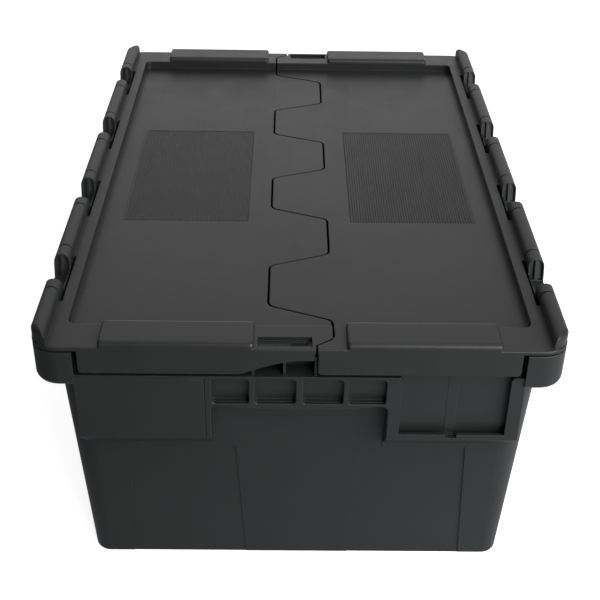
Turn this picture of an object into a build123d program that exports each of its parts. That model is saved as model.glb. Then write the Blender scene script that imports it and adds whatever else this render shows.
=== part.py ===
from build123d import *
import os
from math import atan, degrees

# Attached lid tote: an open tapered box with two interlocking half lids.
# Millimetres. X is the width, Y the length, Z up. The origin is at the middle of the underside.
# The two ends are the same shape, turned by 180 degrees about Z, and so are the two lids.

# ---- driving dimensions
LENGTH = 600.0
WIDTH = 400.0
LID_TOP = 242.0          # height of the lid's border face; the ridges stand above it
RIDGE_RISE = 11.0        # top of the hinge ridges above LID_TOP
HALF_L = LENGTH / 2
HALF_W = WIDTH / 2
CORNER_R = 20.0          # plan radius of lid and rim corners

# ---- box
WALL = 2.4
BASE_HALF_X = 175.5
BASE_HALF_Y = 267.6
BASE_CORNER_R = 14.0
DRAFT = 0.061            # outward growth of every wall per mm of height
FLOOR = 3.0
FOOT_DEPTH = 4.0         # height of the foot ring and ribs under the floor
FOOT_WIDTH = 14.0
RIB = 2.2

SOFT_EDGE = 0.8          # radius of most visible edges

# ---- steps in the lower walls
PANEL_TOP = 129.0        # upper end of the sunk panels
CORNER_STEP = 1.3        # corners stand proud of the wall by this much
PANEL_STEP = 2.2         # corners stand proud of the sunk panels by this much
CORNER_EDGE = (141.5, 134.9)   # half spacing of the corner steps at the base and at PANEL_TOP
CENTRE_EDGE = (43.7, 50.6)     # half width of the centre band at the base and at PANEL_TOP
SIDE_PANELS = ((30.0, 95.0), (112.0, 205.0))   # Y spans of the sunk panels on a long side

# ---- rim, ledge and lugs
RIM_TOP = LID_TOP - 3.4
LUG_TOP = LID_TOP - 4.6
LUG_BOTTOM = LID_TOP - 36.0
LUG_INNER_X = 168.5
LUG_INNER_Y = 258.0
LEDGE = LID_TOP - 26.5
FLANGE_X = 199.7
FLANGE_INNER_X = 186.8
FLANGE_BOTTOM = LID_TOP - 21.0
END_WALL_Y = 281.0       # outer face of the rim wall above the ledge
LEDGE_RIBS = 14
LEDGE_RIB_PITCH = 23.5
LEDGE_RIB_TOP = LID_TOP - 10.0

# ---- frames beside the handle
FACE_Y = 298.0
FRAME_INNER_X = 67.5
FRAME_OUTER_X = 170.0
FRAME_BOTTOM = LID_TOP - 86.5
POCKET_X = (77.0, 159.0)
POCKET_FLOOR = LID_TOP - 81.5
POCKET_DEPTH = 7.0
POCKET_SLOT = 4.5        # how far the slot behind the lower lip goes down
LIP_NOTCH = 3.2          # depth of the notch in the lower lip
POCKET_CORNER = 3.0      # radius at the top of the pocket's side borders
NOTCH_X = (113.5, 122.0)
STRIP_X = (112.9, 120.6)   # flat rib up the back of the pocket
GROOVE_INSET = 4.0       # thin line along the plain label pad
GROOVE_TOP = 2.2
GROOVE_WIDTH = 1.0
GROOVE_DEPTH = 0.45

# ---- handle
HANDLE_DEPTH = 13.0
CELL_DEPTH = 6.6
CELLS = ((-66.5, -38.5), (-34.0, -3.0), (2.5, 33.0), (37.0, 65.5))
CELL_TOP = LID_TOP - 29.5
CELL_BOTTOM = LID_TOP - 52.2
GRIP_EDGE = LID_TOP - 54.5
GRIP_DROP = 3.5          # how much lower the grip's edge is at its middle
GRIP_CORNER = 5.0        # radius where the grip meets the frames

# ---- grip patches, sunk into the lids
GRIP_X = (45.6, 155.0)
GRIP_HALF_Y = 95.0
GRIP_DEPTH = 0.4

# ---- hinge
AXIS_X = 193.5
AXIS_Z = LID_TOP + 4.5
BARREL_R = RIDGE_RISE - 4.5
GAP_CENTRES = (-204.0, -68.0, 68.0, 204.0)
GAP_HALF = 18.8          # half the open space between two knuckles, at the top
GAP_SLANT = 5.5          # how much further a knuckle reaches into that space at its foot
KNUCKLE = 14.2           # width along Y of the knuckle nearer the middle of the tote
END_KNUCKLE = 10.5       # width of the knuckle nearer an end
POCKET_IN = 3.2          # depth of a knuckle's pockets
POCKET_RIB = 1.3         # half width of the rib between them
KNUCKLE_RIM = 1.1        # wall around the pockets
SIDE_PLAY = 1.8
SEAM_ROUND = 0.3         # radius of the edges where a knuckle meets a barrel
BARREL_END = 299.0
NOSE_BACK = 1.6          # how far a ridge ends short of the lid's corner
NOSE_ROUND = 5.0
PIN_R = 1.5
PIN_LENGTH = 20.0
PIN_SEAT = 4.6           # length of a pin held in its knuckle
BORE_PLAY = 0.08         # radial play of a pin in a barrel
SEAT_PLAY = 0.02         # radial play of a pin in a knuckle
SWEEP_R = 8.3            # reach of a turning barrel from the axis
GAP_FLOOR = LID_TOP - 7.0
STRIP_X_SPAN = (187.2, 188.5)    # thin strip of rim beside a lid notch
SLIT_BOTTOM = LID_TOP - 11.0
STRIP_TOP = LID_TOP - 2.2
STRIP_HALF = 30.6        # half length along Y of that strip
NOTCH_HALF = 34.0

# ---- lids
PLATE = 3.0
SUNK = 7.7               # depth of the lid's centre below its border
SUNK_HALF_X = 176.0
SUNK_HALF_Y = 268.0
PAD_X = (34.4, 149.0)
PAD_RISE = 5.0
PAD_ROUND = 4.0          # edge radius along a pad's length
PAD_END_ROUND = 2.5
EDGE_ROUND = 1.3         # radius of the lid's outer edge
SKIRT_Y = 297.0
SKIRT_BOTTOM = LID_TOP - 22.7
SKIRT_END_X = 164.5
SPLIT_GAP = 1.8
SPLIT_ROUND = 7.0        # radius of the teeth
TOOTH = 25.0             # reach of a tooth past the middle
TOOTH_PITCH = 80.0
TOOTH_SLANT = 10.0       # half the Y run of a slanted flank
SPLIT_END_X = 12.0
NOTCH_EDGE_X = 184.8
SEAL = (-31.8, 8.7, -296.3, -283.4)   # seal slot, X from and to, Y from and to
SEAL_DEPTH = 3.4
SEAL_FLOOR = 1.3
OVAL = (-0.6, -287.6, 13.4, 4.6)      # hole through the slot: X, Y, length and width
FINGER_CUT = ((-46.0, 22.7), (-32.4, 17.9), (-21.7, 14.2), (-13.1, 11.9), (-0.4, 10.2))


def span_box(x0, x1, y0, y1, z0, z1):
    """A box between two corners."""
    return Pos((x0 + x1) / 2, (y0 + y1) / 2, (z0 + z1) / 2) * Box(x1 - x0, y1 - y0, z1 - z0)


def half_turn(part):
    """The same shape at the other end of the tote."""
    return Rot(0, 0, 180) * part


def wall_out(half, z):
    """Half size of a drafted wall at height z."""
    return half + DRAFT * z


def plan_block(half_x, half_y, radius, z0, z1):
    """A straight block with rounded plan corners."""
    outline = Pos(0, 0, z0) * RectangleRounded(2 * half_x, 2 * half_y, radius)
    return extrude(outline, z1 - z0)


def drafted_block(half_x, half_y, radius, z0, z1):
    """A block that grows with height by the walls' draft; the half sizes are those at z = 0."""
    outline = Pos(0, 0, z0) * RectangleRounded(
        2 * wall_out(half_x, z0), 2 * wall_out(half_y, z0), radius
    )
    return extrude(outline, z1 - z0, taper=-degrees(atan(DRAFT)))


def prism_y(points, y0, y1):
    """A polygon in X and Z, carried along Y."""
    face = make_face(Polyline([(x, y0, z) for x, z in points], close=True))
    return extrude(face, y1 - y0, dir=(0, 1, 0))


def prism_x(points, x0, x1):
    """A polygon in Y and Z, carried along X."""
    face = make_face(Polyline([(x0, y, z) for y, z in points], close=True))
    return extrude(face, x1 - x0, dir=(1, 0, 0))


# ---------------------------------------------------------------- lower walls
def sunk_end(points, depth):
    """Cutter that sinks a patch of the -Y wall by depth, parallel to the wall."""
    face_y = -(BASE_HALF_Y - depth)
    backing = prism_x(
        [(face_y, -10), (face_y - DRAFT * 260, 250), (0, 250), (0, -10)], -HALF_W, HALF_W
    )
    return prism_y(points, -HALF_L, -200) - backing


def sunk_side(y0, y1, depth):
    """Cutter that sinks a patch of the +X wall by depth, parallel to the wall."""
    face_x = BASE_HALF_X - depth
    backing = prism_y(
        [(face_x, -10), (face_x + DRAFT * 260, 250), (0, 250), (0, -10)], -HALF_L, HALF_L
    )
    top = LID_TOP - 40
    flare = 3.0
    outline = [(y0 - flare, -1), (y0, top), (y1, top), (y1 + flare, -1)]
    return prism_x(outline, 150, HALF_W) - backing


def end_wall_cutters():
    """Sunk middle and sunk panels of the -Y wall."""
    wide0, wide1 = CORNER_EDGE
    mid0, mid1 = CENTRE_EDGE
    middle = [(-wide0, -1), (-wide1, PANEL_TOP), (wide1, PANEL_TOP), (wide0, -1)]
    above = FRAME_INNER_X
    cutters = sunk_end(middle, CORNER_STEP)
    cutters += sunk_end(
        [(-above, PANEL_TOP - 1), (-above, LEDGE - 1), (above, LEDGE - 1), (above, PANEL_TOP - 1)],
        CORNER_STEP,
    )
    for side in (-1, 1):
        panel = [
            (side * mid0, -1),
            (side * mid1, PANEL_TOP - 1.5),
            (side * wide1, PANEL_TOP - 1.5),
            (side * wide0, -1),
        ]
        cutters += sunk_end(panel, PANEL_STEP)
    return cutters


def side_wall_cutters():
    """Sunk panels of the +X wall."""
    cutters = Part()
    for y0, y1 in SIDE_PANELS:
        cutters += sunk_side(y0, y1, PANEL_STEP - 0.7)
        cutters += sunk_side(-y1, -y0, PANEL_STEP - 0.7)
    return cutters


# ---------------------------------------------------------------- end frames and handle
def frame_block(x0, x1, face, top, bottom):
    """Block that stands out of the -Y wall, with a 45 degree underside."""
    root = -(BASE_HALF_Y - 12)
    run = -root - face
    return prism_x(
        [(-face, top), (-face, bottom), (root, bottom + run), (root, top)], x0, x1
    )


def frames_outer():
    """Outside of the two frames that flank the handle."""
    frames = Part()
    for x0, x1 in ((FRAME_INNER_X, FRAME_OUTER_X), (-FRAME_OUTER_X, -FRAME_INNER_X)):
        block = frame_block(x0, x1, FACE_Y, LEDGE, FRAME_BOTTOM)
        front = block.faces().sort_by(Axis.Y)[0]
        frames += fillet([e for e in front.edges() if e.center().Z < LEDGE - 1], SOFT_EDGE)
    return frames


def frames_inner():
    """Hollow behind the two frames, open to the inside of the box."""
    top = LEDGE - WALL
    bottom = FRAME_BOTTOM + 1.2
    plain_face = FACE_Y - WALL
    pocket_face = FACE_Y - POCKET_DEPTH - WALL
    x0 = FRAME_INNER_X + WALL
    x1 = FRAME_OUTER_X - WALL
    left = frame_block(-x1, -x0, plain_face, top, bottom)
    right = frame_block(x0, x1, pocket_face, top, bottom - POCKET_DEPTH)
    return left + right


def label_pocket():
    """Cutter for the label pocket, open at its top, with a slot behind the lower lip."""
    x0, x1 = POCKET_X
    back = -(FACE_Y - POCKET_DEPTH)
    pocket = span_box(x0, x1, -FACE_Y - 1, back, POCKET_FLOOR, LEDGE + 1)
    strip = span_box(*STRIP_X, back - 0.2, back + 1, POCKET_FLOOR - 6, LEDGE + 1)
    slot = span_box(x0, x1, back - 4, back, POCKET_FLOOR - POCKET_SLOT, POCKET_FLOOR)
    notch = span_box(*NOTCH_X, -FACE_Y - 1, back, POCKET_FLOOR - LIP_NOTCH, POCKET_FLOOR)
    bridge = span_box(*STRIP_X, back - 3, back + 1, POCKET_FLOOR - 6, POCKET_FLOOR - LIP_NOTCH)
    cutter = pocket + slot - strip - bridge + notch
    for x, side in ((x0, -1), (x1, 1)):
        centre = x + side * POCKET_CORNER
        corner = span_box(*sorted((x, centre)), -FACE_Y - 1, back, LEDGE - POCKET_CORNER, LEDGE + 1)
        corner -= Pos(centre, -FACE_Y, LEDGE - POCKET_CORNER) * Rot(90, 0, 0) * Cylinder(POCKET_CORNER, 40)
        cutter += corner
    return cutter


def pad_groove():
    """Cutter for the thin line along the top and the inner side of the plain label pad."""
    x0, x1 = -FRAME_OUTER_X + 1, -FRAME_INNER_X - GROOVE_INSET
    z0, z1 = FRAME_BOTTOM + 1, LEDGE - GROOVE_TOP
    wide = GROOVE_WIDTH
    y0, y1 = -FACE_Y - 1, -FACE_Y + GROOVE_DEPTH
    return span_box(x0, x1, y0, y1, z1 - wide, z1) + span_box(x1 - wide, x1, y0, y1, z0, z1)


def grip_outline():
    """Front outline of the grip bar, bowed down in the middle and rounded into the frames."""
    half = FRAME_INNER_X
    low = GRIP_EDGE - GRIP_CORNER
    bend = half - GRIP_CORNER
    middle = GRIP_CORNER * (1 - 0.7071)
    face_y = -FACE_Y
    edges = []
    for side in (-1, 1):
        edges += ThreePointArc(
            (side * half, face_y, low), (side * (half - middle), face_y, GRIP_EDGE - middle),
            (side * bend, face_y, GRIP_EDGE),
        ).edges()
    edges += ThreePointArc(
        (-bend, face_y, GRIP_EDGE), (0, face_y, GRIP_EDGE - GRIP_DROP), (bend, face_y, GRIP_EDGE)
    ).edges()
    edges += Polyline(
        [(half, face_y, low), (half + 1, face_y, low), (half + 1, face_y, LEDGE),
         (-half - 1, face_y, LEDGE), (-half - 1, face_y, low), (-half, face_y, low)]
    ).edges()
    return make_face(Wire(edges))


def handle():
    """Bar across the -Y end with four cells, and a ledge that joins it to the wall."""
    half = FRAME_INNER_X + 1
    back = -(FACE_Y - HANDLE_DEPTH)
    inside = -END_WALL_Y + WALL / 2
    bar = extrude(grip_outline(), HANDLE_DEPTH, dir=(0, 1, 0))
    gutters = Part()
    for x0, x1 in CELLS:
        cell = span_box(x0, x1, -FACE_Y - 1, -FACE_Y + CELL_DEPTH, CELL_BOTTOM, CELL_TOP)
        cell = fillet(cell.edges().filter_by(Axis.Y), 2.5)
        bar -= cell
        gutters += span_box(
            x0 + 1, x1 - 1, -FACE_Y + 1.6, -FACE_Y + 3.0, CELL_BOTTOM - 1.2, CELL_BOTTOM + 3
        )
    front = bar.faces().sort_by(Axis.Y)[0]
    rims = [e for wire in front.inner_wires() for e in wire.edges()]
    lower = [e for e in front.outer_wire().edges() if e.geom_type == GeomType.CIRCLE]
    bar = fillet(rims + lower, SOFT_EDGE) - gutters
    ledge = span_box(-half, half, -FACE_Y, inside, LEDGE - WALL, LEDGE)
    webs = Part()
    for x in (-FRAME_INNER_X / 3, FRAME_INNER_X / 3):
        webs += span_box(x - RIB / 2, x + RIB / 2, back, inside, CELL_TOP - 12, LEDGE)
    return bar + ledge + webs


def end_rim():
    """Rim wall and ribs that stand on the ledge of the -Y end."""
    half = LUG_INNER_X + 1
    wall = span_box(-half, half, -END_WALL_Y, -END_WALL_Y + WALL, LEDGE - WALL, RIM_TOP)
    ribs = Part()
    for i in range(LEDGE_RIBS):
        x = (i - (LEDGE_RIBS - 1) / 2) * LEDGE_RIB_PITCH
        depth = FACE_Y - 2.5
        if POCKET_X[0] - 2 < x < POCKET_X[1] + 2:
            depth = FACE_Y - POCKET_DEPTH - 1
        ribs += span_box(x - 1, x + 1, -depth, -END_WALL_Y + 1, LEDGE - 1, LEDGE_RIB_TOP)
    return wall + ribs


# ---------------------------------------------------------------- rim flange and lugs
def corner_lug(sx, sy):
    """Deep rounded block under a lid corner, hollow from below."""
    outline = plan_block(HALF_W, HALF_L, CORNER_R, LUG_BOTTOM, LUG_TOP)
    outline = fillet(outline.faces().sort_by(Axis.Z)[0].edges(), 6.0)
    outline = fillet(outline.faces().sort_by(Axis.Z)[-1].edges(), SOFT_EDGE)
    lug = outline & span_box(
        *sorted((sx * LUG_INNER_X, sx * HALF_W)), *sorted((sy * LUG_INNER_Y, sy * HALF_L)),
        LUG_BOTTOM, LUG_TOP,
    )
    inset = 6.5
    hollow = plan_block(HALF_W - inset, HALF_L - inset, CORNER_R - inset, LUG_BOTTOM - 1, LUG_TOP - 8)
    hollow &= span_box(
        *sorted((sx * (LUG_INNER_X + 4), sx * HALF_W)),
        *sorted((sy * (LUG_INNER_Y + 4), sy * HALF_L)),
        LUG_BOTTOM - 1, LUG_TOP,
    )
    web_x = sx * (LUG_INNER_X + 16)
    hollow -= span_box(web_x - 1.2, web_x + 1.2, -HALF_L, HALF_L, LUG_BOTTOM, LUG_TOP)
    return lug - hollow


def side_flange(sx):
    """Rim along a long side, open underneath and stiffened by cross ribs."""
    run = LUG_INNER_Y + 2
    x0, x1 = sorted((sx * FLANGE_INNER_X, sx * FLANGE_X))
    flange = span_box(x0, x1, -run, run, FLANGE_BOTTOM, LUG_TOP)
    h0, h1 = sorted((sx * (FLANGE_INNER_X + 2.5), sx * (FLANGE_X - WALL)))
    hollow = span_box(h0, h1, -run + 4, run - 4, FLANGE_BOTTOM - 1, GAP_FLOOR - WALL)
    for i in range(-6, 7):
        y = i * 40.0
        hollow -= span_box(h0, h1, y - RIB / 2, y + RIB / 2, FLANGE_BOTTOM + 1, LUG_TOP)
    return flange - hollow


# ---------------------------------------------------------------- hinge
def knuckle_outline(grow, foot):
    """Arch outline of a knuckle in X and Z at the +X hinge; grow is the offset from its face."""
    radius = BARREL_R + grow
    centre = (AXIS_X, 0, AXIS_Z)
    left = (AXIS_X - radius, 0, AXIS_Z)
    right = (AXIS_X + radius, 0, AXIS_Z)
    top = (AXIS_X, 0, centre[2] + radius)
    arch = ThreePointArc(left, top, right)
    legs = Polyline([right, (right[0], 0, foot), (left[0], 0, foot), left])
    return make_face(Wire([*arch.edges(), *legs.edges()]))


def axis_rod(radius, y0, y1, x=AXIS_X):
    """A round bar on a hinge axis."""
    return Pos(x, (y0 + y1) / 2, AXIS_Z) * Rot(90, 0, 0) * Cylinder(radius, y1 - y0)


def slanted_slab(y_far, y_face, facing, lean):
    """Slab between a knuckle's slanted face and a back that leans out by lean at its foot."""
    low, high = GAP_FLOOR - 1, LID_TOP + RIDGE_RISE
    outline = [
        (y_far, high), (y_face, high), (y_face + facing * GAP_SLANT, low),
        (y_far + facing * lean, low),
    ]
    return prism_x(outline, AXIS_X - BARREL_R - 1, AXIS_X + BARREL_R + 1)


def knuckle(y0, y1, facing):
    """Knuckle at the +X hinge; two pockets and the rib between them face the open space."""
    seam, inner = (y0, y1) if facing > 0 else (y1, y0)
    reach = GAP_SLANT + 1
    start = min(y0, y0 + facing * reach)
    length = y1 - y0 + reach
    arch = Pos(0, start, 0) * extrude(knuckle_outline(0, GAP_FLOOR - 1), length, dir=(0, 1, 0))
    body = arch & slanted_slab(seam, inner, facing, 0)
    ends = [e for e in body.edges() if e.geom_type == GeomType.CIRCLE]
    body = fillet(ends, SEAM_ROUND)
    hole = Pos(0, start, 0) * extrude(
        knuckle_outline(-KNUCKLE_RIM, GAP_FLOOR + 0.4), length, dir=(0, 1, 0)
    )
    pocket = hole & slanted_slab(inner - facing * POCKET_IN, inner, facing, GAP_SLANT)
    pocket -= span_box(
        AXIS_X - POCKET_RIB, AXIS_X + POCKET_RIB, start, start + length, GAP_FLOOR, LID_TOP + RIDGE_RISE
    )
    return body - pocket - axis_rod(PIN_R + SEAT_PLAY, *seat_span(y0, y1, facing, 0.1))


def knuckle_places():
    """Y span of each knuckle and the way its pockets face, from front to rear."""
    places = []
    for centre in GAP_CENTRES:
        front, rear = (END_KNUCKLE, KNUCKLE) if centre < 0 else (KNUCKLE, END_KNUCKLE)
        places.append((centre - GAP_HALF - front, centre - GAP_HALF, 1))
        places.append((centre + GAP_HALF, centre + GAP_HALF + rear, -1))
    return places


def seat_span(y0, y1, facing, extra=0.0):
    """Y span of a pin's seat in a knuckle, reaching extra past the pin's end."""
    if facing > 0:
        return y0, y0 + PIN_SEAT + extra
    return y1 - PIN_SEAT - extra, y1


def pin_span(y0, y1, facing):
    """Y span of the pin seated in a knuckle."""
    low, high = seat_span(y0, y1, facing)
    return (high - PIN_LENGTH, high) if facing > 0 else (low, low + PIN_LENGTH)


def barrel_spans():
    """Y spans of the lid's barrels between the knuckles."""
    spans = []
    low = -BARREL_END
    for y0, y1, facing in knuckle_places():
        if facing > 0:
            spans.append((low, y0 - SIDE_PLAY))
        else:
            low = y1 + SIDE_PLAY
    spans.append((low, BARREL_END))
    return spans


def hinge_pin(place):
    """Pin from its seat in a knuckle into the barrel beside it, at the +X hinge."""
    pin = axis_rod(PIN_R, *pin_span(*place))
    return chamfer(pin.edges().filter_by(GeomType.CIRCLE), 0.4)


# ---------------------------------------------------------------- box
def box_outside():
    """Outside of the tapered box with its sunk panels, end frames and rim, still solid."""
    outer = drafted_block(BASE_HALF_X, BASE_HALF_Y, BASE_CORNER_R, 0, LEDGE)
    outer = fillet(outer.faces().sort_by(Axis.Z)[0].edges(), 3.0)
    ends = end_wall_cutters()
    sides = side_wall_cutters()
    outer = outer - ends - half_turn(ends) - sides - half_turn(sides)
    frames = frames_outer()
    outer = outer + frames + half_turn(frames)
    upper_x = wall_out(BASE_HALF_X, LEDGE)
    outer += plan_block(upper_x, END_WALL_Y, BASE_CORNER_R, LEDGE - 2, RIM_TOP)
    return outer


def cavity():
    """The space inside the box, with the hollows of the end frames."""
    inner = drafted_block(
        BASE_HALF_X - WALL - 0.8, BASE_HALF_Y - WALL - 1.4, BASE_CORNER_R - WALL,
        FLOOR + FOOT_DEPTH, LEDGE - WALL,
    )
    hollows = frames_inner()
    inner = inner + hollows + half_turn(hollows)
    upper_x = wall_out(BASE_HALF_X, LEDGE)
    inner += plan_block(
        upper_x - WALL, END_WALL_Y - WALL, BASE_CORNER_R - WALL, LEDGE - WALL - 1, LID_TOP
    )
    return inner


def floor_underside():
    """Cutter that leaves a foot ring and a grid of ribs under the floor."""
    half_x = BASE_HALF_X - FOOT_WIDTH
    half_y = BASE_HALF_Y - FOOT_WIDTH
    cutter = plan_block(half_x, half_y, BASE_CORNER_R / 2, -1, FOOT_DEPTH)
    for i in range(-2, 3):
        x = i * half_x / 3
        cutter -= span_box(x - RIB / 2, x + RIB / 2, -half_y, half_y, 0.6, FOOT_DEPTH)
    for i in range(-3, 4):
        y = i * half_y / 4
        cutter -= span_box(-half_x, half_x, y - RIB / 2, y + RIB / 2, 0.6, FOOT_DEPTH)
    return cutter


def open_space(centre):
    """Strip of rim beside a lid notch at the +X hinge, and cutter for the open space there."""
    strip_low, strip_high = centre - STRIP_HALF, centre + STRIP_HALF
    x0, x1 = STRIP_X_SPAN
    strip = span_box(x0, x1, strip_low, strip_high, RIM_TOP - 2, STRIP_TOP)
    opening = span_box(x1, HALF_W + 1, centre - GAP_HALF, centre + GAP_HALF, GAP_FLOOR, LID_TOP)
    opening += span_box(x0 - 4, x0, strip_low, strip_high, SLIT_BOTTOM, LID_TOP)
    return strip, opening


def tote_body():
    """The box in one piece."""
    end = handle() + end_rim()
    body = box_outside() + end + half_turn(end)
    for sx in (-1, 1):
        body += side_flange(sx)
        for sy in (-1, 1):
            body += corner_lug(sx, sy)
    cutters = label_pocket() + pad_groove()
    body = body - cutters - half_turn(cutters) - cavity() - floor_underside()
    for centre in GAP_CENTRES:
        strip, opening = open_space(centre)
        body = body + strip + half_turn(strip) - opening - half_turn(opening)
    for place in knuckle_places():
        post = knuckle(*place)
        body = body + post + half_turn(post)
    return body


# ---------------------------------------------------------------- lids
def split_points():
    """The zigzag between the lids, from front to rear."""
    points = [(SPLIT_END_X, -HALF_L - 10), (SPLIT_END_X, -294.0), (TOOTH, -285.0)]
    side = 1
    y = -3 * TOOTH_PITCH
    while y <= 3 * TOOTH_PITCH:
        points.append((side * TOOTH, y - TOOTH_SLANT))
        points.append((-side * TOOTH, y + TOOTH_SLANT))
        side = -side
        y += TOOTH_PITCH
    points += [(-TOOTH, 285.0), (-SPLIT_END_X, 294.0), (-SPLIT_END_X, HALF_L + 10)]
    return points


def left_region(z0, z1):
    """Everything on the left lid's side of the split."""
    far = HALF_L + 10
    points = split_points() + [(-HALF_W - 10, far), (-HALF_W - 10, -far)]
    face = make_face(Polyline([(x, y, z0) for x, y in points], close=True))
    inner = [v for v in face.vertices() if abs(v.X) <= TOOTH + 1 and abs(v.Y) < HALF_L - 10]
    face = fillet(inner, SPLIT_ROUND)
    face = offset(face, amount=-SPLIT_GAP / 2, kind=Kind.INTERSECTION)
    return extrude(face, z1 - z0)


def lid_plate():
    """Border, sunk centre and raised pads of both lids together."""
    low = LID_TOP - SUNK
    plate = plan_block(HALF_W, HALF_L, CORNER_R, LID_TOP - PLATE, LID_TOP)
    plate = fillet(plate.faces().sort_by(Axis.Z)[-1].edges(), EDGE_ROUND)
    plate += plan_block(SUNK_HALF_X + PLATE, SUNK_HALF_Y + PLATE, 9.0, low - PLATE, LID_TOP)
    plate -= plan_block(SUNK_HALF_X, SUNK_HALF_Y, 6.0, low, LID_TOP + 1)
    border = plate.faces().sort_by(Axis.Z)[-1]
    plate = fillet(border.inner_wires()[0].edges(), SOFT_EDGE)
    x0, x1 = PAD_X
    for sx in (-1, 1):
        for sy in (-1, 1):
            pad = span_box(
                *sorted((sx * x0, sx * x1)), *sorted((sy * SUNK_HALF_Y, sy * HALF_L)),
                LID_TOP - 1, LID_TOP + PAD_RISE,
            )
            pad = fillet(pad.faces().sort_by(Axis.Z)[-1].edges().filter_by(Axis.X), PAD_ROUND)
            ends = pad.faces().filter_by(Axis.X)
            rim = [e for end in ends for e in end.edges() if e.center().Z > LID_TOP + 0.5]
            plate += fillet(rim, PAD_END_ROUND)
    gx0, gx1 = GRIP_X
    for sx in (-1, 1):
        span = sorted((sx * gx0, sx * gx1))
        plate -= span_box(*span, -GRIP_HALF_Y, GRIP_HALF_Y, low - GRIP_DEPTH, low + 1)
    return plate


def lid_ribs():
    """Stiffening ribs under the left lid's sunk centre."""
    z0 = LID_TOP - SUNK - PLATE - 5.0
    z1 = LID_TOP - SUNK - 1.0
    ribs = Part()
    for x in (-40.0, -84.0, -128.0, -168.0):
        ribs += span_box(x - RIB / 2, x + RIB / 2, -262, 262, z0, z1)
    for i in range(-3, 4):
        y = i * TOOTH_PITCH
        ribs += span_box(-169, -34, y - RIB / 2, y + RIB / 2, z0, z1)
    return ribs


def front_skirt():
    """The left lid's front skirt, cut away towards the middle for fingers."""
    top = LID_TOP - 1.3
    face_y = -HALF_L
    cut = [(x, face_y, LID_TOP - drop) for x, drop in FINGER_CUT]
    end_x = 9.5
    curve = Spline([*cut, (end_x, face_y, LID_TOP - 10.0)], tangents=[(1, 0, 0.2), (1, 0, 0)])
    rest = Polyline(
        [(end_x, face_y, LID_TOP - 10.0), (SPLIT_END_X - 1.4, face_y, LID_TOP - 9.0),
         (SPLIT_END_X - 1.4, face_y, top), (-SKIRT_END_X, face_y, top),
         (-SKIRT_END_X, face_y, SKIRT_BOTTOM + 2.5), (0.7 - SKIRT_END_X, face_y, SKIRT_BOTTOM + 0.7),
         (2.5 - SKIRT_END_X, face_y, SKIRT_BOTTOM), cut[0]]
    )
    face = make_face(Wire([*curve.edges(), *rest.edges()]))
    return extrude(face, HALF_L - SKIRT_Y, dir=(0, 1, 0))


def rear_skirt():
    """The left lid's rear skirt, at full depth over its whole length."""
    top = LID_TOP - 1.3
    low = SKIRT_BOTTOM
    start = SPLIT_END_X + 1.4
    outline = prism_y(
        [(start, top), (start, low), (SKIRT_END_X, low), (SKIRT_END_X, top)], -HALF_L, -SKIRT_Y
    )
    corners = [e for e in outline.edges().filter_by(Axis.Y) if e.center().Z < low + 1]
    return half_turn(fillet(corners, 3.0))


def seal_slot():
    """Boss and cutter for the seal slot near the middle of the left lid's front border."""
    x0, x1, y0, y1 = SEAL
    bottom = LID_TOP - SEAL_DEPTH
    boss = span_box(x0 - 3, x1 + 3, -SKIRT_Y - 1, y1 + 1.5, bottom - SEAL_FLOOR, LID_TOP - 1)
    cutter = span_box(x0, x1, y0, y1, bottom, LID_TOP + 1)
    x, y, length, width = OVAL
    cutter += extrude(Pos(x, y, LID_TOP - 10) * SlotOverall(length, width), 11)
    return boss, cutter


def barrel(y0, y1):
    """Arched hinge barrel of the left lid, standing on the lid's edge."""
    x = -AXIS_X
    inner = x + BARREL_R
    foot = prism_y(
        [(x, LID_TOP - PLATE), (x, AXIS_Z), (inner, AXIS_Z), (inner, LID_TOP - PLATE)],
        y0, y1,
    )
    return axis_rod(BARREL_R, y0, y1, x) + foot


def soft_barrel(tube):
    """A barrel with its round end edges softened."""
    ends = [
        e for e in tube.edges()
        if e.geom_type == GeomType.CIRCLE and abs(e.radius - BARREL_R) < 0.01
        and abs(e.center().Y) < HALF_L - CORNER_R
    ]
    return fillet(ends, SEAM_ROUND)


def barrel_bores():
    """Cutters for the pins in the left lid's barrels."""
    bores = Part()
    for place in knuckle_places():
        low, high = pin_span(*place)
        bores += axis_rod(PIN_R + BORE_PLAY, low - 0.8, high + 0.8, -AXIS_X)
    return bores


def lid_left():
    """The left half lid."""
    lid = lid_plate() + lid_ribs()
    low = LID_TOP - SUNK - PLATE - 6
    lid &= left_region(low, LID_TOP + PAD_RISE + 1)
    boss, slot_cutter = seal_slot()
    lid = lid + boss + front_skirt() + rear_skirt()
    for centre in GAP_CENTRES:
        lid -= span_box(
            -HALF_W - 1, -NOTCH_EDGE_X, centre - NOTCH_HALF, centre + NOTCH_HALF,
            LID_TOP - 20, LID_TOP + 5,
        )
    edge = span_box(-HALF_W - 1, -AXIS_X, -HALF_L, HALF_L, LID_TOP - PLATE - 1, AXIS_Z)
    edge -= axis_rod(SWEEP_R, -HALF_L - 5, HALF_L + 5, -AXIS_X)
    lid -= edge
    outline = plan_block(
        HALF_W, HALF_L - NOSE_BACK, CORNER_R, LID_TOP - PLATE, LID_TOP + RIDGE_RISE
    )
    outline = fillet(outline.faces().sort_by(Axis.Z)[-1].edges(), NOSE_ROUND)
    for y0, y1 in barrel_spans():
        lid += soft_barrel(barrel(y0, y1) & outline)
    return lid - slot_cutter - barrel_bores()


# ---------------------------------------------------------------- output
def main():
    os.makedirs("parts", exist_ok=True)
    left = lid_left()
    pieces = {"tote_body": tote_body(), "lid_left": left, "lid_right": half_turn(left)}
    for number, place in enumerate(knuckle_places(), start=1):
        pin = hinge_pin(place)
        pieces[f"hinge_pin_right_{number}"] = pin
        pieces[f"hinge_pin_left_{number}"] = half_turn(pin)
    for name, piece in pieces.items():
        export_step(piece, f"parts/{name}.step")


main()
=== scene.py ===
import math

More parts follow.
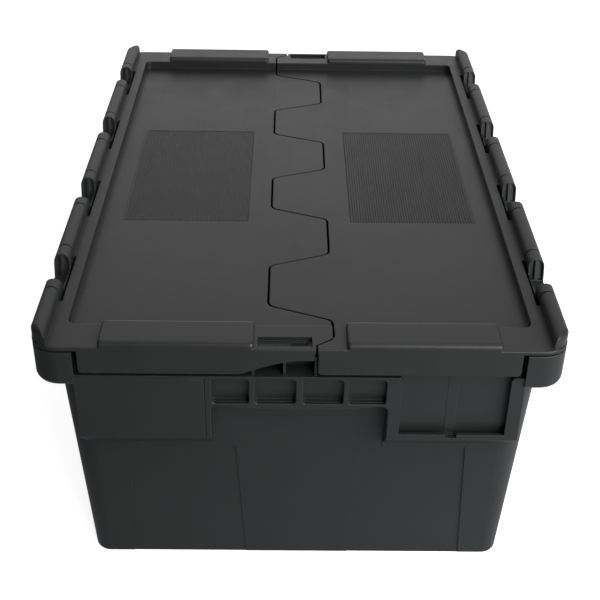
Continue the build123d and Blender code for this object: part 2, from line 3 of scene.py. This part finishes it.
import bmesh
import bpy
from mathutils import Matrix, Vector


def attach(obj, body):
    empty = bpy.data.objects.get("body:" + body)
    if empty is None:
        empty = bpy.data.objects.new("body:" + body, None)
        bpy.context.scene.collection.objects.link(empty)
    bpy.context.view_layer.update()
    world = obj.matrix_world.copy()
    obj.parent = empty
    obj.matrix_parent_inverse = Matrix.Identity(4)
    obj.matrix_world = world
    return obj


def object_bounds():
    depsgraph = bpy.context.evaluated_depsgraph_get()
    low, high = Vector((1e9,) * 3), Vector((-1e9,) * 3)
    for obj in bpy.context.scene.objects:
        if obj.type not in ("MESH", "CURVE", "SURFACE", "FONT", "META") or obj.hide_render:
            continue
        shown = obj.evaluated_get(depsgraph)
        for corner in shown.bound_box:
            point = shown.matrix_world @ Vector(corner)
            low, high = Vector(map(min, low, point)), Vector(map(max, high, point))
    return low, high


# Looks for the attached lid tote. Metres, in the CAD model's frame: X across, Y along, Z up.
MM = 0.001

# ---- camera
CAMERA_BACK = -0.95056      # along Y
CAMERA_SIDE = -0.0105       # along X
CAMERA_ABOVE_LID = 0.471645
CAMERA_PITCH = math.radians(33.3245)
CAMERA_YAW = math.radians(0.8337)
CAMERA_ROLL = math.radians(1.006)
CAMERA_LENS = 65.84         # millimetres
SENSOR = 36.0               # millimetres
VIEW_DISTANCE = 30.0

# ---- heights below the top of the hinge ridges
BORDER_DROP = 11.0 * MM
PATCH_DROP = 19.1 * MM      # floor of the grip patches

# ---- grip fields on the lids
GRIP_X = (45.6 * MM, 157.8 * MM)
GRIP_HALF_Y = 95.0 * MM
GRIP_RIDGES = 49
RIDGE_SHARE = 0.66          # of the pitch, the rest is the groove
RIDGE_HEIGHT = 0.75 * MM
RIDGE_ROOT = 0.1 * MM       # how far a ridge reaches into the lid
RIDGE_END = 1.2 * MM        # length of the slope at each end
RIDGE_PROFILE = (           # across the width, up the height
    (-0.5, 0.0), (-0.34, 0.72), (-0.12, 1.0), (0.12, 1.0), (0.34, 0.72), (0.5, 0.0)
)

# ---- plastics: colours, the spread of tone and roughness, and the scales of the noises per metre
TOTE_COLOUR = (0.0188, 0.0211, 0.0202)
LID_COLOUR = (0.0188, 0.0213, 0.0194)
PIN_COLOUR = (0.012, 0.012, 0.012)
GRIP_COLOUR = (0.0196, 0.0221, 0.0202)
PLASTIC_IOR = 1.47

FLOW_STRETCH = (3.0, 1.2, 4.0)
FLOW_SCALE = 3.0
FLOW_TONE = 0.07
BLOTCH_SCALE = 45.0
BLOTCH_TONE = 0.035
BLOTCH_ROUGHNESS = 0.03
BLOTCH_BUMP = 0.12 * MM
BLOTCH_BUMP_STRENGTH = 0.25
GRAIN_SCALE = 1500.0
GRAIN_TONE = 0.05
GRAIN_BUMP = 0.05 * MM
SCUFF_STRETCH = (260.0, 9.0, 40.0)
SCUFF_ROUGHNESS = 0.07

WIDE_BAND = (0.3, 0.7)      # the part of a noise that is spread over the whole effect
MIDDLE_BAND = (0.35, 0.65)
SCUFF_BAND = (0.55, 0.8)

EDGE_SAMPLES = 6
EDGE_TURN = (1.0, 0.8)      # cosine between hard and soft normal, on a flat face and on a full edge
PAINTED_EDGE_HIGHLIGHT = (0.25, 0.6)     # how much lighter the edges are painted: a painted highlight
EDGE_ROUGHNESS = 0.16

# ---- light
ROOM_PANELS = (             # direction, sharpness, strength
    ((0, 1, 0.3), 4, 0.64),
    ((0, 1, 0), 16, 0.79),
    ((0, 1, 0.9), 16, 0.08),
    ((1, 1, 0.4), 8, 0.21),
    ((0, -1, 0.3), 4, 0.28),
    ((-1, 0.5, 0.9), 8, 0.10),
)
LIGHT_TARGET = (0, 0, 0.15)
KEY_PLACE = (1.2, -1.4, 1.2)
KEY_SIZE = (2.0, 2.0)
KEY_POWER = 54
OVERHEAD_PLACE = (0.1, 0.2, 2.2)
OVERHEAD_SIZE = (1.4, 1.4)
OVERHEAD_POWER = 7.2

# ---- floor
FLOOR_REACH = 8.0           # from the middle to each side
FLOOR_WHITE = (0.92, 0.92, 0.92, 1)
FLOOR_LIFT = (0.80, 0.82)   # glow towards the camera, at the ends of the cloud noise
FLOOR_CLOUD_SCALE = 1.3
FLOOR_GLOW = (0.13, 0.65)   # glow on the object, at the left and right ends of the fade
FLOOR_FADE = (-0.35, 0.35)
FLOOR_TINT = (0.96, 1.0, 1.06, 1)


# ---------------------------------------------------------------- materials
class Nodes:
    """Short names for making shader nodes and joining them."""

    def __init__(self, owner):
        owner.use_nodes = True
        self.tree = owner.node_tree
        self.tree.nodes.clear()

    def add(self, kind, **values):
        node = self.tree.nodes.new("ShaderNode" + kind)
        for key, value in values.items():
            setattr(node, key, value)
        return node

    def link(self, source, node, name):
        self.tree.links.new(source, node.inputs[name])

    def position(self):
        """The point's place in its object's own frame."""
        return self.add("TexCoord").outputs["Object"]

    def seen_by_camera(self):
        """1 for rays straight from the camera, 0 for light and reflections."""
        return self.add("LightPath").outputs["Is Camera Ray"]

    def stretch(self, place, scale):
        mapping = self.add("Mapping")
        mapping.inputs["Scale"].default_value = scale
        self.link(place, mapping, "Vector")
        return mapping.outputs["Vector"]

    def noise(self, place, scale, detail=2.0, rough=0.5):
        node = self.add("TexNoise")
        node.inputs["Scale"].default_value = scale
        node.inputs["Detail"].default_value = detail
        node.inputs["Roughness"].default_value = rough
        self.link(place, node, "Vector")
        return node.outputs["Fac"]

    def remap(self, value, band, low, high):
        """The value, with the ends of its band moved to low and high and clamped there."""
        node = self.add("MapRange")
        self.link(value, node, "Value")
        for name, number in (
            ("From Min", band[0]), ("From Max", band[1]), ("To Min", low), ("To Max", high)
        ):
            node.inputs[name].default_value = number
        return node.outputs["Result"]

    def sway(self, value, band, middle, swing):
        """The value, moved to swing up and down around the middle."""
        return self.remap(value, band, middle - swing, middle + swing)

    def math(self, operation, a, b):
        node = self.add("Math", operation=operation)
        for index, value in enumerate((a, b)):
            if isinstance(value, (int, float)):
                node.inputs[index].default_value = value
            else:
                self.tree.links.new(value, node.inputs[index])
        return node.outputs["Value"]

    def total(self, first, *others):
        """The sum of the values."""
        for other in others:
            first = self.math("ADD", first, other)
        return first

    def bump(self, height, strength, distance, normal):
        node = self.add("Bump")
        node.inputs["Strength"].default_value = strength
        node.inputs["Distance"].default_value = distance
        self.link(height, node, "Height")
        self.link(normal, node, "Normal")
        return node.outputs["Normal"]

    def edge_mask(self, radius):
        """About 1 on sharp edges and 0 on flat faces, and the softened normal."""
        bevel = self.add("Bevel", samples=EDGE_SAMPLES)
        bevel.inputs["Radius"].default_value = radius
        flat = self.add("NewGeometry").outputs["Normal"]
        dot = self.add("VectorMath", operation="DOT_PRODUCT")
        self.link(bevel.outputs["Normal"], dot, 0)
        self.link(flat, dot, 1)
        return self.remap(dot.outputs["Value"], EDGE_TURN, 0.0, 1.0), bevel.outputs["Normal"]


def moulded_plastic(name, colour, roughness, grain, edge):
    """Moulded polypropylene: flow marks, fine grain, soft edges painted lighter as a highlight."""
    material = bpy.data.materials.new(name)
    n = Nodes(material)
    place = n.position()
    flow = n.noise(n.stretch(place, FLOW_STRETCH), FLOW_SCALE, detail=3.0)
    blotch = n.noise(place, BLOTCH_SCALE, detail=4.0, rough=0.6)
    fine = n.noise(place, GRAIN_SCALE, detail=3.0, rough=0.65)
    scuff = n.noise(n.stretch(place, SCUFF_STRETCH), 1.0, detail=5.0, rough=0.7)
    sharp_edges, soft_normal = n.edge_mask(edge)

    shade = n.total(
        n.sway(flow, WIDE_BAND, 1.0, FLOW_TONE),
        n.sway(blotch, WIDE_BAND, 0.0, BLOTCH_TONE),
        n.sway(fine, MIDDLE_BAND, 0.0, GRAIN_TONE),
        # painted highlight: sharp edges made lighter in colour
        n.math("MULTIPLY", sharp_edges, n.remap(blotch, MIDDLE_BAND, *PAINTED_EDGE_HIGHLIGHT)),
    )
    tint = n.add("VectorMath", operation="SCALE")
    tint.inputs[0].default_value = colour
    n.link(shade, tint, "Scale")

    matt = n.total(
        n.sway(blotch, WIDE_BAND, roughness, BLOTCH_ROUGHNESS),
        n.remap(scuff, SCUFF_BAND, 0.0, SCUFF_ROUGHNESS),
        n.math("MULTIPLY", sharp_edges, EDGE_ROUGHNESS),
    )
    normal = n.bump(blotch, BLOTCH_BUMP_STRENGTH, BLOTCH_BUMP, soft_normal)
    normal = n.bump(fine, grain, GRAIN_BUMP, normal)

    shader = n.add("BsdfPrincipled")
    n.link(tint.outputs["Vector"], shader, "Base Color")
    n.link(matt, shader, "Roughness")
    n.link(normal, shader, "Normal")
    shader.inputs["IOR"].default_value = PLASTIC_IOR
    output = n.add("OutputMaterial")
    n.link(shader.outputs["BSDF"], output, "Surface")
    return material


def paint(obj, material):
    obj.data.materials.clear()
    obj.data.materials.append(material)


# ---------------------------------------------------------------- pieces
def mesh_piece(name, bm, material):
    """A named object from a bmesh."""
    mesh = bpy.data.meshes.new(name)
    bmesh.ops.recalc_face_normals(bm, faces=bm.faces)
    bm.to_mesh(mesh)
    bm.free()
    obj = bpy.data.objects.new(name, mesh)
    bpy.context.scene.collection.objects.link(obj)
    mesh.materials.append(material)
    return obj


def ridge(bm, x, width, z):
    """One low rib along Y with a rounded top and sloped ends, closed on all sides."""
    low = z - RIDGE_ROOT
    flat_end = GRIP_HALF_Y - RIDGE_END
    rings = []
    for y, lift in ((-GRIP_HALF_Y, 0.0), (-flat_end, 1.0), (flat_end, 1.0), (GRIP_HALF_Y, 0.0)):
        rings.append([
            bm.verts.new((x + across * width, y, low + up * lift * (RIDGE_HEIGHT + RIDGE_ROOT)))
            for across, up in RIDGE_PROFILE
        ])
    for before, after in zip(rings, rings[1:]):
        for i in range(len(RIDGE_PROFILE) - 1):
            bm.faces.new((before[i], before[i + 1], after[i + 1], after[i]))
        bm.faces.new((before[-1], before[0], after[0], after[-1]))
    bm.faces.new(rings[0])
    bm.faces.new(rings[-1])


def grip_field(name, side, body, z, material):
    """Fine ribs for grip on one lid's sunk centre."""
    bm = bmesh.new()
    x0, x1 = GRIP_X
    pitch = (x1 - x0) / GRIP_RIDGES
    for i in range(GRIP_RIDGES):
        ridge(bm, side * (x0 + (i + 0.5) * pitch), pitch * RIDGE_SHARE, z)
    obj = mesh_piece(name, bm, material)
    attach(obj, body)


# ---------------------------------------------------------------- studio
def camera(lid_z):
    """Camera at the height and angle of a standing viewer, in front of one end."""
    pitch, yaw, roll = CAMERA_PITCH, CAMERA_YAW, CAMERA_ROLL
    ahead = Vector(
        (math.sin(yaw) * math.cos(pitch), math.cos(yaw) * math.cos(pitch), -math.sin(pitch))
    )
    level = Vector((math.cos(yaw), -math.sin(yaw), 0))
    upright = level.cross(ahead)
    right = math.cos(roll) * level + math.sin(roll) * upright
    up = -math.sin(roll) * level + math.cos(roll) * upright
    data = bpy.data.cameras.new("camera")
    data.lens = CAMERA_LENS
    data.sensor_width = SENSOR
    data.clip_end = VIEW_DISTANCE
    obj = bpy.data.objects.new("camera", data)
    turn = Matrix((right, up, -ahead)).transposed().to_4x4()
    place = Vector((CAMERA_SIDE, CAMERA_BACK, lid_z + CAMERA_ABOVE_LID))
    obj.matrix_world = Matrix.Translation(place) @ turn
    bpy.context.scene.collection.objects.link(obj)
    bpy.context.scene.camera = obj


def area_light(name, place, size, power):
    """A rectangular light that faces the tote."""
    data = bpy.data.lights.new(name, "AREA")
    data.shape = "RECTANGLE"
    data.size, data.size_y = size
    data.energy = power
    obj = bpy.data.objects.new(name, data)
    obj.location = place
    towards = Vector(LIGHT_TARGET) - Vector(place)
    obj.rotation_euler = towards.to_track_quat("-Z", "Y").to_euler()
    bpy.context.scene.collection.objects.link(obj)


def room():
    """Dim room with soft panels around it, seen by the camera as plain white."""
    world = bpy.data.worlds.new("room")
    bpy.context.scene.world = world
    n = Nodes(world)
    ray = n.add("TexCoord").outputs["Generated"]
    panels = []
    for direction, sharpness, strength in ROOM_PANELS:
        dot = n.add("VectorMath", operation="DOT_PRODUCT")
        n.link(ray, dot, 0)
        dot.inputs[1].default_value = Vector(direction).normalized()
        facing = n.math("MAXIMUM", dot.outputs["Value"], 0.0)
        panels.append(n.math("MULTIPLY", n.math("POWER", facing, sharpness), strength))
    background = n.add("Background")
    background.inputs["Color"].default_value = (1, 1, 1, 1)
    n.link(n.total(n.seen_by_camera(), *panels), background, "Strength")
    output = n.add("OutputWorld")
    n.link(background.outputs["Background"], output, "Surface")


def floor_material():
    """White to the eye with a soft contact shadow, and a dimmer glow on the object."""
    material = bpy.data.materials.new("floor_white")
    n = Nodes(material)
    place = n.position()
    across = n.add("SeparateXYZ")
    n.link(place, across, "Vector")
    glow = n.add("Emission")
    glow.inputs["Color"].default_value = FLOOR_TINT
    n.link(n.remap(across.outputs["X"], FLOOR_FADE, *FLOOR_GLOW), glow, "Strength")

    lit = n.add("BsdfDiffuse")
    lit.inputs["Color"].default_value = FLOOR_WHITE
    lift = n.add("Emission")
    cloud = n.noise(place, FLOOR_CLOUD_SCALE)
    n.link(n.remap(cloud, WIDE_BAND, *FLOOR_LIFT), lift, "Strength")
    white = n.add("AddShader")
    n.link(lit.outputs["BSDF"], white, 0)
    n.link(lift.outputs["Emission"], white, 1)

    mix = n.add("MixShader")
    n.link(n.seen_by_camera(), mix, "Fac")
    n.link(glow.outputs["Emission"], mix, 1)
    n.link(white.outputs["Shader"], mix, 2)
    output = n.add("OutputMaterial")
    n.link(mix.outputs["Shader"], output, "Surface")
    return material


def studio():
    """White floor, soft room light, a large key light from the front right and one overhead."""
    room()
    area_light("key", KEY_PLACE, KEY_SIZE, KEY_POWER)
    area_light("overhead", OVERHEAD_PLACE, OVERHEAD_SIZE, OVERHEAD_POWER)
    bm = bmesh.new()
    bmesh.ops.create_grid(bm, x_segments=1, y_segments=1, size=FLOOR_REACH)
    floor = mesh_piece("floor", bm, floor_material())
    bpy.context.scene.view_settings.view_transform = "Standard"


# ---------------------------------------------------------------- build
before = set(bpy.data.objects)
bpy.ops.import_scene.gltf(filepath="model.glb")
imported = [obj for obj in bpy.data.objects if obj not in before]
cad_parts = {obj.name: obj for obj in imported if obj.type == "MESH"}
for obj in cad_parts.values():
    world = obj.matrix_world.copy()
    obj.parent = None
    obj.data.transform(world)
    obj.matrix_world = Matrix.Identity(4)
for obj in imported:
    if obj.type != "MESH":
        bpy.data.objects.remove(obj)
cad_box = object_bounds()
top = cad_box[1][2]

tote_plastic = moulded_plastic("tote_plastic", TOTE_COLOUR, roughness=0.38, grain=0.35, edge=0.7 * MM)
lid_plastic = moulded_plastic("lid_plastic", LID_COLOUR, roughness=0.38, grain=0.3, edge=0.8 * MM)
pin_plastic = moulded_plastic("pin_plastic", PIN_COLOUR, roughness=0.4, grain=0.2, edge=0.3 * MM)
grip_plastic = moulded_plastic("grip_plastic", GRIP_COLOUR, roughness=0.385, grain=0.3, edge=0.2 * MM)

for name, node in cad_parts.items():
    if name.startswith("hinge_pin"):
        paint(node, pin_plastic)
    elif name.startswith("lid"):
        paint(node, lid_plastic)
    else:
        paint(node, tote_plastic)

grip_field("grip_left", -1, "left_lid", top - PATCH_DROP, grip_plastic)
grip_field("grip_right", 1, "right_lid", top - PATCH_DROP, grip_plastic)

studio()
camera(top - BORDER_DROP)
